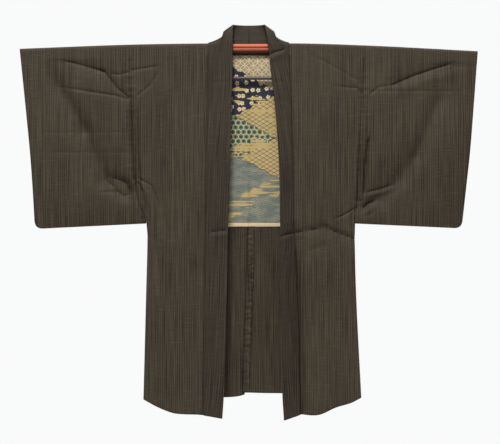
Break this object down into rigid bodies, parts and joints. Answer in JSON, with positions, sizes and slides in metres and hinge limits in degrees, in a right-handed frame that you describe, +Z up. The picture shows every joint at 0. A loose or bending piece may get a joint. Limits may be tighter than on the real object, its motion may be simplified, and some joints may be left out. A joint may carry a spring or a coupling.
{
  "type": "kimono jacket (haori) on a hanger bar",
  "caption": "Open men's kimono jacket with wide square sleeves, a folded collar band and a printed back lining, hung flat on a ribbed hanger bar.",
  "frame": {"origin": "middle of the hanger bar, at its centre line, where the hanger is held", "axes": "+Z up, +X along the bar to the viewer's right (the wearer's left), fronts facing -Y"},
  "size_m": [1.2785, 0.0698, 1.1022],
  "materials": {
    "haori_cloth": "matt striped silk, dark brown",
    "band_cloth": "matt striped silk, dark brown, folded double",
    "lining_silk": "printed smooth silk, cream, indigo, ochre and grey-green",
    "orange_lacquer": "glossy orange",
    "dark_metal": "dark grey"
  },
  "bodies": {
    "root": {"body_right": "haori_cloth", "body_left": "haori_cloth", "sleeve_right": "haori_cloth", "sleeve_left": "haori_cloth", "gusset_right": "haori_cloth", "gusset_left": "haori_cloth", "collar_right": "band_cloth", "collar_left": "band_cloth", "lining": "lining_silk", "hanger_bar": "orange_lacquer", "hanger_arm_right": "orange_lacquer", "hanger_arm_left": "orange_lacquer", "hanger_rail": "dark_metal"}
  },
  "joints": []
}
